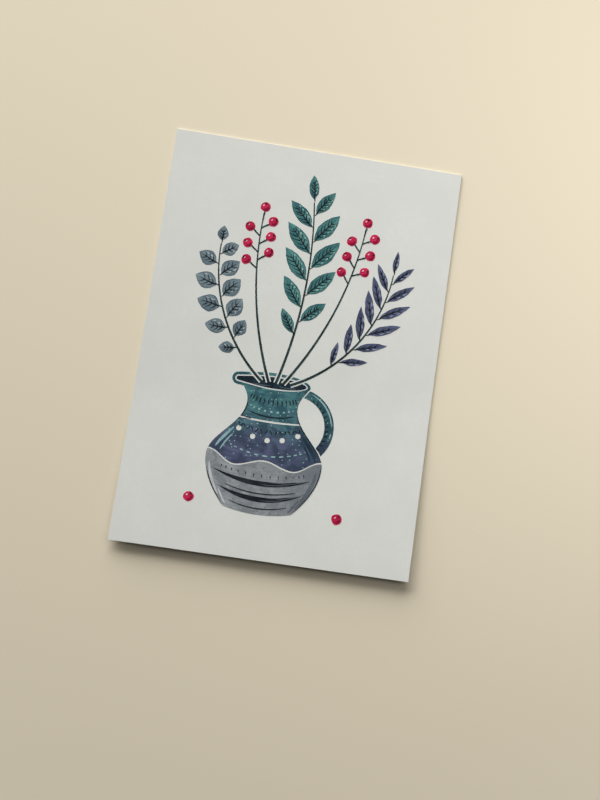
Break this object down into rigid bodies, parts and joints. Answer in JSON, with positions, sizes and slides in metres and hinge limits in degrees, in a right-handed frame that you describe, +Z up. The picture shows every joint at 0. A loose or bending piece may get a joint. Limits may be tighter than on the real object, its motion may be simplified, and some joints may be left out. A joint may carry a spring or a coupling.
{
  "type": "postcard",
  "caption": "Small portrait sheet of white board, slightly curled at its lower edge, with a picture of a jug of leafy sprigs on its face and lines for an address and a stamp on its back.",
  "frame": {"origin": "centre of the sheet's underside, on the surface that the card lies on", "axes": "+X to the picture's right, +Y to the picture's top, +Z up out of the picture"},
  "size_m": [0.105, 0.148, 0.0019],
  "materials": {
    "board_face": "smooth uncoated white board, matt",
    "board_pulp": "soft pulp, seen at the cut edge",
    "board_back": "uncoated white board, matt, to write on",
    "glaze_ink": "matt printed gouache, dark teal into violet",
    "clay_ink": "matt printed gouache, warm grey",
    "handle_ink": "matt printed gouache, dark teal",
    "dark_ink": "matt near-black ink",
    "stem_ink": "matt dark green-grey ink",
    "teal_ink": "matt printed gouache, teal green",
    "slate_ink": "matt printed gouache, slate",
    "violet_ink": "matt printed gouache, violet grey",
    "magenta_ink": "matt printed gouache, magenta",
    "back_ink": "matt grey ink"
  },
  "bodies": {
    "root": {"front_ply": "board_face", "middle_ply": "board_pulp", "back_ply": "board_back", "jug_glaze": "glaze_ink", "jug_clay": "clay_ink", "jug_handle": "handle_ink", "jug_mouth": "dark_ink", "jug_bands": "dark_ink", "stems": "stem_ink", "teal_leaves": "teal_ink", "slate_leaves": "slate_ink", "violet_leaves": "violet_ink", "berries": "magenta_ink", "leaf_midribs": "dark_ink", "divider_line": "back_ink", "address_lines": "back_ink", "stamp_frame": "back_ink"}
  },
  "joints": []
}
